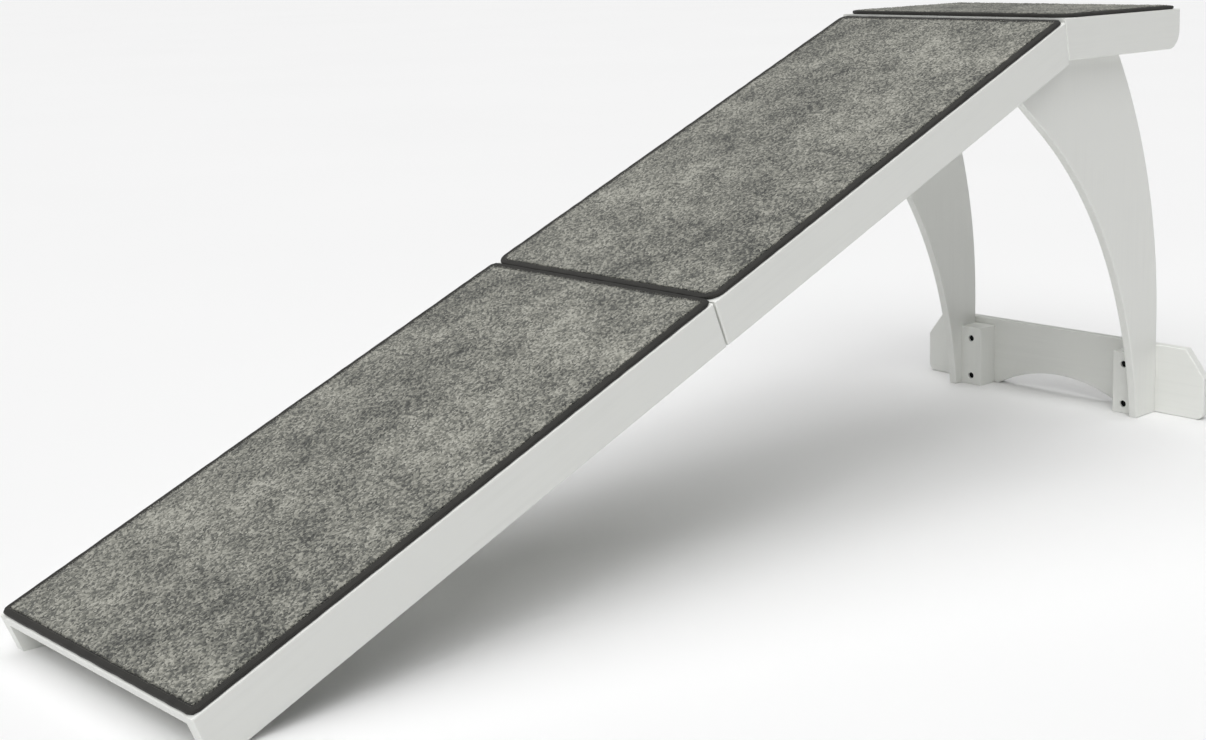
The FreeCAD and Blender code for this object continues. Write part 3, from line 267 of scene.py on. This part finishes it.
pile_cloth = add(tree, "BsdfPrincipled", {"Base Color": pile_colour.outputs[0],
                                          "Roughness": 0.95, "Sheen Weight": 0.25,
                                          "Sheen Roughness": 0.6,
                                          "Normal": fibre_relief.outputs[0]})
add(tree, "OutputMaterial", {"Surface": pile_cloth.outputs[0]})


class Pad:
    """One pad's place on its deck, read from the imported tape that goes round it."""

    def __init__(self, name, body, deck, rounds, seed):
        self.name = name
        self.body = body
        self.deck = deck
        self.rounds = rounds
        self.random = np.random.default_rng(seed)
        along, across, up = walking_plane(name)
        points = [v.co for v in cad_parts[name + "_tape"].data.vertices]
        reach = [[axis.dot(p) for p in points] for axis in (along, across, up)]
        low = [min(r) for r in reach]
        high = [max(r) for r in reach]
        self.length = high[0] - low[0]
        self.width = high[1] - low[1]
        self.height = high[2] - low[2]
        middle = along * (low[0] + high[0]) / 2 + across * (low[1] + high[1]) / 2 + up * low[2]
        self.place = Matrix.Translation(middle) @ Matrix((along, across, up)).transposed().to_4x4()

    def piece(self, suffix, points, faces, material, slot):
        """A smooth mesh in the pad's own directions, riding with the ramp half under it."""
        mesh = bpy.data.meshes.new(self.name + suffix)
        mesh.from_pydata([tuple(p) for p in points], [], faces)
        mesh.shade_smooth()
        mesh.materials.append(material)
        made = bpy.data.objects.new(self.name + suffix, mesh)
        bpy.context.scene.collection.objects.link(made)
        made.matrix_world = self.place
        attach(made, self.body)
        return made

    def outline(self, inset, step):
        """Places and inward directions, `step` apart, on a line `inset` inside the bound edge."""
        corners = []
        signs = ((-1, -1, 180), (1, -1, 270), (1, 1, 0), (-1, 1, 90))
        for (side, hand, start), edge_round in zip(signs, self.rounds):
            bend = max(edge_round - inset, 0.2 * MM)
            turn = np.radians(start + np.linspace(0, 90, 13))
            out = np.column_stack((np.cos(turn), np.sin(turn)))
            middle = (side * (self.length / 2 - inset - bend), hand * (self.width / 2 - inset - bend))
            corners.append(np.column_stack((middle + bend * out, -out)))
        line = np.vstack(corners + [corners[0][:1]])
        runs = np.hypot(*np.diff(line[:, :2], axis=0).T)
        far = np.concatenate(([0], np.cumsum(runs)))
        count = int(far[-1] / step)
        spots = np.arange(count) * far[-1] / count
        line = np.column_stack([np.interp(spots, far, line[:, k]) for k in range(4)])
        line[:, 2:] /= np.hypot(line[:, 2], line[:, 3])[:, None]
        return line[:, :2], line[:, 2:], spots, far[-1]


def smooth_random(random, rows, cols, step):
    """Heights from -1 to 1 that change smoothly over `step` rows and columns."""
    coarse = random.uniform(-1, 1, (rows // step + 3, cols // step + 3))
    at_row, at_col = np.arange(rows) / step, np.arange(cols) / step
    row, col = at_row.astype(int), at_col.astype(int)
    row_share = (at_row - row)[:, None]
    col_share = (at_col - col)[None, :]
    row_share = row_share ** 2 * (3 - 2 * row_share)
    col_share = col_share ** 2 * (3 - 2 * col_share)
    first = coarse[row][:, col] * (1 - col_share) + coarse[row][:, col + 1] * col_share
    second = coarse[row + 1][:, col] * (1 - col_share) + coarse[row + 1][:, col + 1] * col_share
    return first * (1 - row_share) + second * row_share


def pile(pad):
    """The pad's cut pile: a closed pad whose top is a field of tufts, with a soft shoulder."""
    inset = TAPE_WIDTH - 0.2 * MM
    half_length = pad.length / 2 - inset
    half_width = pad.width / 2 - inset
    rows = int(2 * half_width / PILE_STEP)
    cols = int(2 * half_length / PILE_STEP)
    across = np.linspace(-half_width, half_width, rows)

    def corner_inset(edge_round):
        bend = max(edge_round - inset, 0.5 * MM)
        beyond = np.clip(np.abs(across) - (half_width - bend), 0, bend)
        return bend - np.sqrt(bend ** 2 - beyond ** 2)

    start = -half_length + corner_inset(pad.rounds[0])
    end = half_length - corner_inset(pad.rounds[1])
    share = np.linspace(0, 1, cols)
    x = start[:, None] + share[None, :] * (end - start)[:, None]
    y = np.repeat(across[:, None], cols, axis=1)
    edge = np.minimum(half_width - np.abs(y), np.minimum(x - start[:, None], end[:, None] - x))
    shoulder = np.sqrt(np.clip(edge / SHOULDER, 0, 1))
    inside = (edge > 0.5 * PILE_STEP)
    x = x + inside * pad.random.uniform(-0.35, 0.35, x.shape) * PILE_STEP
    y = y + inside * pad.random.uniform(-0.35, 0.35, y.shape) * PILE_STEP
    tuft = pad.random.uniform(-1, 1, x.shape) * 0.55 * MM
    clump = smooth_random(pad.random, rows, cols, 4) * 0.40 * MM
    sway = smooth_random(pad.random, rows, cols, 28) * 0.30 * MM
    z = PILE_THICK * (0.72 + 0.28 * shoulder) + shoulder * (tuft + clump + sway)
    top = np.column_stack((x.ravel(), y.ravel(), z.ravel()))
    cell = np.arange(rows * cols).reshape(rows, cols)
    faces = np.column_stack((cell[:-1, :-1].ravel(), cell[:-1, 1:].ravel(),
                             cell[1:, 1:].ravel(), cell[1:, :-1].ravel())).tolist()
    rim = np.concatenate((cell[0, :], cell[1:, -1], cell[-1, -2::-1], cell[-2:0:-1, 0]))
    foot = top[rim] * (1, 1, 0)
    below = len(top) + np.arange(len(rim))
    after = np.roll(np.arange(len(rim)), -1)
    faces += np.column_stack((rim[after], rim, below, below[after])).tolist()
    faces.append(below[::-1].tolist())
    made = pad.piece("_pile", np.vstack((top, foot)), faces, cut_pile, "carpet")
    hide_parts(pad.name)
    return made


def clumps(pad, count):
    """Shares from 0 to 1 that rise and fall every few tufts along the rim."""
    return (smooth_random(pad.random, 2, count, 9)[:1].T + 1) / 2


def stray_tufts(pad):
    """Tufts at the rim of the pile that lean out over the tape and make its edge ragged."""
    spots, inward, _, _ = pad.outline(TAPE_WIDTH + 0.2 * MM, 0.55 * MM)
    count = len(spots)
    rough = pad.random.uniform
    root = np.column_stack((spots + inward * rough(-0.3, 1.2, (count, 1)) * MM,
                            rough(4.0, 5.2, count) * MM))
    reach = rough(0.4, 1.6, (count, 1)) + rough(0, 2.2, (count, 1)) * clumps(pad, count)
    lean = np.column_stack((-inward * reach * MM, rough(0.3, 1.5, count) * MM))
    lean[:, :2] += rough(-0.8, 0.8, (count, 2)) * MM
    thick = rough(0.35, 0.7, (count, 1, 1)) * MM
    turn = np.radians(np.arange(4) * 90)
    ring = np.column_stack((np.cos(turn), np.sin(turn), np.zeros(4)))[None]
    base = root[:, None] + ring * thick
    middle = root[:, None] + lean[:, None] * 0.6 + ring * thick * 0.9
    tip = (root + lean)[:, None]
    points = np.concatenate((base, middle, tip), axis=1).reshape(-1, 3)
    pattern = [(k, (k + 1) % 4, 4 + (k + 1) % 4, 4 + k) for k in range(4)]
    pattern += [(4 + k, 4 + (k + 1) % 4, 8) for k in range(4)]
    pattern.append((3, 2, 1, 0))
    faces = [tuple(9 * n + k for k in face) for n in range(count) for face in pattern]
    return pad.piece("_stray_tufts", points, faces, cut_pile, "carpet")


# ---- Carpet pads: the binding tape -----------------------------------------------------
# A charcoal polyester tape is folded over the edge of each pad and sewn through.  It shows as
# a soft rounded band, a little wavy, that laps over its own end near a corner.
TAPE_RIB = 0.9 * MM
TAPE_STEP = 4 * MM
TAPE_SIDES = 18
TAPE_SQUARENESS = 0.62
LAP_LENGTH = 16 * MM
LAP_THICK = 0.7 * MM
TAPE_SETTLED = 0.93  # the share of its packed height that the tape keeps once sewn

woven_tape, tree = new_material("woven_charcoal_polyester_tape")
weave_place = add(tree, "UVMap", uv_map="weave").outputs[0]
ribs = add(tree, "TexWave", {"Vector": weave_place, "Scale": 1 / TAPE_RIB / math.tau,
                             "Distortion": 0.6, "Detail": 1.0, "Detail Scale": 2.0},
           bands_direction="X")
place = add(tree, "TexCoord").outputs["Object"]
lint = add(tree, "TexNoise", {"Vector": place, "Scale": 1 / (1.4 * MM), "Detail": 4.0})
worn = add(tree, "TexNoise", {"Vector": place, "Scale": 1 / (30 * MM), "Detail": 2.0})
yarn = add(tree, "Math", {0: ribs.outputs["Fac"], 1: 0.35, 2: worn.outputs[0]},
           operation="MULTIPLY_ADD")
tape_tone = add(tree, "Math", {0: lint.outputs[0], 1: 0.5, 2: yarn.outputs[0]},
                operation="MULTIPLY_ADD")
tape_colour = add(tree, "ValToRGB", {"Fac": tape_tone.outputs[0]},
                  stops=((0.45, "1A1A18"), (1.0, "2D2C29")))
rib_relief = add(tree, "Bump", {"Height": ribs.outputs["Fac"], "Distance": 0.15 * MM,
                                "Strength": 0.8})
lint_relief = add(tree, "Bump", {"Height": lint.outputs[0], "Distance": 0.15 * MM,
                                 "Strength": 0.6, "Normal": rib_relief.outputs[0]})
tape_cloth = add(tree, "BsdfPrincipled", {"Base Color": tape_colour.outputs[0],
                                          "Roughness": 0.85, "Sheen Weight": 0.05,
                                          "Sheen Roughness": 0.5,
                                          "Normal": lint_relief.outputs[0]})
add(tree, "OutputMaterial", {"Surface": tape_cloth.outputs[0]})


def wander(random, spots, whole, longest):
    """A random curve from -1 to 1 round a closed line, with waves down to `longest` / 3."""
    waves = max(int(whole / longest), 1)
    total = np.zeros(len(spots))
    for count in (waves, 2 * waves + 1, 3 * waves + 1):
        total += random.uniform(0.4, 1) * np.sin(math.tau * (count * spots / whole + random.random()))
    return total / 2.4


def tape(pad):
    """The binding tape: a rounded band swept round the pad."""
    spots, inward, along, whole = pad.outline(TAPE_WIDTH / 2, TAPE_STEP)
    turn = np.linspace(0, math.tau, TAPE_SIDES, endpoint=False)
    across_share = np.sign(np.cos(turn)) * np.abs(np.cos(turn)) ** TAPE_SQUARENESS
    up_share = np.sign(np.sin(turn)) * np.abs(np.sin(turn)) ** TAPE_SQUARENESS
    sway = wander(pad.random, along, whole, 90 * MM) * 0.45 * MM
    girth = 1 + 0.05 * wander(pad.random, along, whole, 60 * MM)
    lap = np.clip(1 - np.abs(along - whole + 2 * LAP_LENGTH) / LAP_LENGTH * 2, 0, 1) > 0.02
    waves = wander(pad.random, along, whole, 70 * MM) * 0.25 * MM
    tall = pad.height * TAPE_SETTLED + waves + lap * LAP_THICK
    reach = across_share[None, :] * girth[:, None] * TAPE_WIDTH / 2 + sway[:, None]
    reach = np.maximum(reach, -TAPE_WIDTH / 2)
    rise = (up_share[None, :] + 1) * tall[:, None] / 2
    level = spots[:, None, :] + inward[:, None, :] * reach[:, :, None]
    points = np.concatenate((level, rise[:, :, None]), axis=2).reshape(-1, 3)
    count = len(spots)
    faces = []
    weave = []
    ends = np.append(along, whole)
    band = (TAPE_WIDTH + pad.height) * 2 / TAPE_SIDES
    for n in range(count):
        m = (n + 1) % count
        for k in range(TAPE_SIDES):
            j = (k + 1) % TAPE_SIDES
            faces.append((n * TAPE_SIDES + k, n * TAPE_SIDES + j, m * TAPE_SIDES + j,
                          m * TAPE_SIDES + k))
            weave += [ends[n], k * band, ends[n], (k + 1) * band,
                      ends[n + 1], (k + 1) * band, ends[n + 1], k * band]
    made = pad.piece("_binding", points, faces, woven_tape, "edge_tape")
    made.data.uv_layers.new(name="weave").data.foreach_set("uv", weave)
    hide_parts(pad.name + "_tape")
    return made


# ---- Carpet pads: the stitching --------------------------------------------------------
# One row of lock stitches in matching thread holds the tape, near its inner edge.  Each
# stitch sinks a little where the needle went through.
STITCH_PITCH = 4.2 * MM
STITCH_HALF = 1.6 * MM
THREAD = 0.45 * MM
STITCH_INSET = 7.0 * MM

thread, tree = new_material("twisted_polyester_thread")
place = add(tree, "TexCoord").outputs["Object"]
twist = add(tree, "TexNoise", {"Vector": place, "Scale": 1 / (0.5 * MM), "Detail": 2.0})
colour = add(tree, "ValToRGB", {"Fac": twist.outputs[0]}, stops=((0.3, "33332F"), (0.7, "55554E")))
relief = add(tree, "Bump", {"Height": twist.outputs[0], "Distance": 0.1 * MM, "Strength": 0.6})
strand = add(tree, "BsdfPrincipled", {"Base Color": colour.outputs[0], "Roughness": 0.7,
                                      "Sheen Weight": 0.1, "Normal": relief.outputs[0]})
add(tree, "OutputMaterial", {"Surface": strand.outputs[0]})


def stitches(pad):
    """The row of stitches: short spindles of thread lying on the tape."""
    spots, inward, _, _ = pad.outline(STITCH_INSET, STITCH_PITCH)
    forward = np.column_stack((inward[:, 1], -inward[:, 0]))
    rings = ((-0.8, 0.6), (0.0, 1.0), (0.8, 0.6))
    turn = np.radians(np.arange(6) * 60)
    shape = [(-1.0, 0.0, -0.4)]
    for place_share, size in rings:
        sink = -0.4 * place_share ** 2
        shape += [(place_share, size * math.cos(t), size * math.sin(t) + sink) for t in turn]
    shape.append((1.0, 0.0, -0.4))
    shape = np.array(shape) * (STITCH_HALF, THREAD, THREAD)
    top = pad.height * TAPE_SETTLED - 0.1 * MM
    level = (spots[:, None, :] + forward[:, None, :] * shape[None, :, :1]
             + inward[:, None, :] * shape[None, :, 1:2])
    rise = np.broadcast_to(top + shape[None, :, 2:], level.shape[:2] + (1,))
    points = np.concatenate((level, rise), axis=2).reshape(-1, 3)
    pattern = []
    for k in range(6):
        j = (k + 1) % 6
        pattern.append((0, 1 + j, 1 + k))
        pattern += [(r + k, r + j, r + 6 + j, r + 6 + k) for r in (1, 7)]
        pattern.append((19, 13 + k, 13 + j))
    size = len(shape)
    faces = [tuple(size * n + k for k in face) for n in range(len(spots)) for face in pattern]
    return pad.piece("_stitches", points, faces, thread, "edge_tape")


# ---- Carpet pads: one on each deck -----------------------------------------------------
# The upper pad and the platform's pad turn wider corners where they meet the pad below them.
SMALL_CORNER = 10 * MM
WIDE_CORNER = 22 * MM
PLATFORM_CORNER = 30 * MM
pads = (
    Pad("lower_carpet", "lower_ramp", "lower_deck", (SMALL_CORNER,) * 4, 11),
    Pad("upper_carpet", "upper_frame", "upper_deck",
        (WIDE_CORNER, SMALL_CORNER, SMALL_CORNER, WIDE_CORNER), 12),
    Pad("platform_carpet", "upper_frame", "platform_deck",
        (PLATFORM_CORNER, SMALL_CORNER, SMALL_CORNER, PLATFORM_CORNER), 13),
)
for pad in pads:
    cloth = pile(pad)
    stray_tufts(pad)
    tape(pad)
    stitches(pad)

# ---- Studio floor and light ------------------------------------------------------------
# A seamless white paper floor and three soft lamps far off: from the front right of the ramp,
# from beyond its toe and from overhead.
FLOOR_SIDE = 60.0
FLOOR_DROP = 0.2 * MM
floor_mesh = bpy.data.meshes.new("studio_floor")
half = FLOOR_SIDE / 2
floor_mesh.from_pydata([(-half, -half, 0), (half, -half, 0), (half, half, 0), (-half, half, 0)],
                       [], [(0, 1, 2, 3)])
floor = bpy.data.objects.new("studio_floor", floor_mesh)
bpy.context.scene.collection.objects.link(floor)
floor.location.z = part_box[0][2] - FLOOR_DROP
seamless, tree = new_material("matt_white_paper")
place = add(tree, "TexCoord").outputs["Object"]
cloud = add(tree, "TexNoise", {"Vector": place, "Scale": 0.8, "Detail": 2.0})
colour = add(tree, "ValToRGB", {"Fac": cloud.outputs[0]}, stops=((0.0, "F7F7F7"), (1.0, "FAFAFA")))
paper = add(tree, "BsdfPrincipled", {"Base Color": colour.outputs[0], "Roughness": 0.9})
add(tree, "OutputMaterial", {"Surface": paper.outputs[0]})
floor_mesh.materials.append(seamless)

world = bpy.data.worlds.new("studio")
world.use_nodes = True
world.node_tree.nodes["Background"].inputs["Color"].default_value = from_hex("FAFBFC")
world.node_tree.nodes["Background"].inputs["Strength"].default_value = 0.03
bpy.context.scene.world = world
bpy.context.scene.view_settings.view_transform = "Standard"


def soft_sun(name, toward_light, spread, strength):
    """A far, wide softbox: parallel light with soft-edged shadows, the same all over the floor."""
    lamp = bpy.data.lights.new(name, "SUN")
    lamp.angle = math.radians(spread)
    lamp.energy = strength
    made = bpy.data.objects.new(name, lamp)
    made.rotation_euler = Vector(toward_light).to_track_quat("Z", "Y").to_euler()
    bpy.context.scene.collection.objects.link(made)


soft_sun("front_softbox", (-1.0, -1.0, 1.4), 35, 1.1)
soft_sun("toe_softbox", (-1.0, -0.1, 1.0), 35, 0.65)
soft_sun("overhead_softbox", (0.0, 0.1, 1.0), 70, 1.85)

# ---- Camera ----------------------------------------------------------------------------
# Eye height of a person kneeling beyond the ramp's foot, on its right, with a short telephoto
# lens.  Its place is in metres from the toe of the ramp, and the film and lens in millimetres.
CAMERA_BACK = 0.8390
CAMERA_ASIDE = 1.7089
CAMERA_HEIGHT = 0.7665
YAW = math.radians(42.951)
PITCH = math.radians(9.593)
ROLL = math.radians(-1.400)
FILM = 36.0
LENS_LENGTH = 55.9657
LENS_SHIFT_ACROSS = -0.01064
LENS_SHIFT_UP = -0.09942
ahead = Vector((math.sin(YAW) * math.cos(PITCH), math.cos(YAW) * math.cos(PITCH),
                -math.sin(PITCH)))
level_right = Vector((math.cos(YAW), -math.sin(YAW), 0))
level_up = level_right.cross(ahead)
right = level_right * math.cos(ROLL) + level_up * math.sin(ROLL)
up = level_up * math.cos(ROLL) - level_right * math.sin(ROLL)
lens = bpy.data.cameras.new("camera")
lens.sensor_width = FILM
lens.lens = LENS_LENGTH
lens.shift_x = LENS_SHIFT_ACROSS
lens.shift_y = LENS_SHIFT_UP
camera = bpy.data.objects.new("camera", lens)
camera.matrix_world = (Matrix.Translation((part_box[0][0] - CAMERA_BACK, -CAMERA_ASIDE,
                                           CAMERA_HEIGHT))
                       @ Matrix((right, up, -ahead)).transposed().to_4x4())
bpy.context.scene.collection.objects.link(camera)
bpy.context.scene.camera = camera
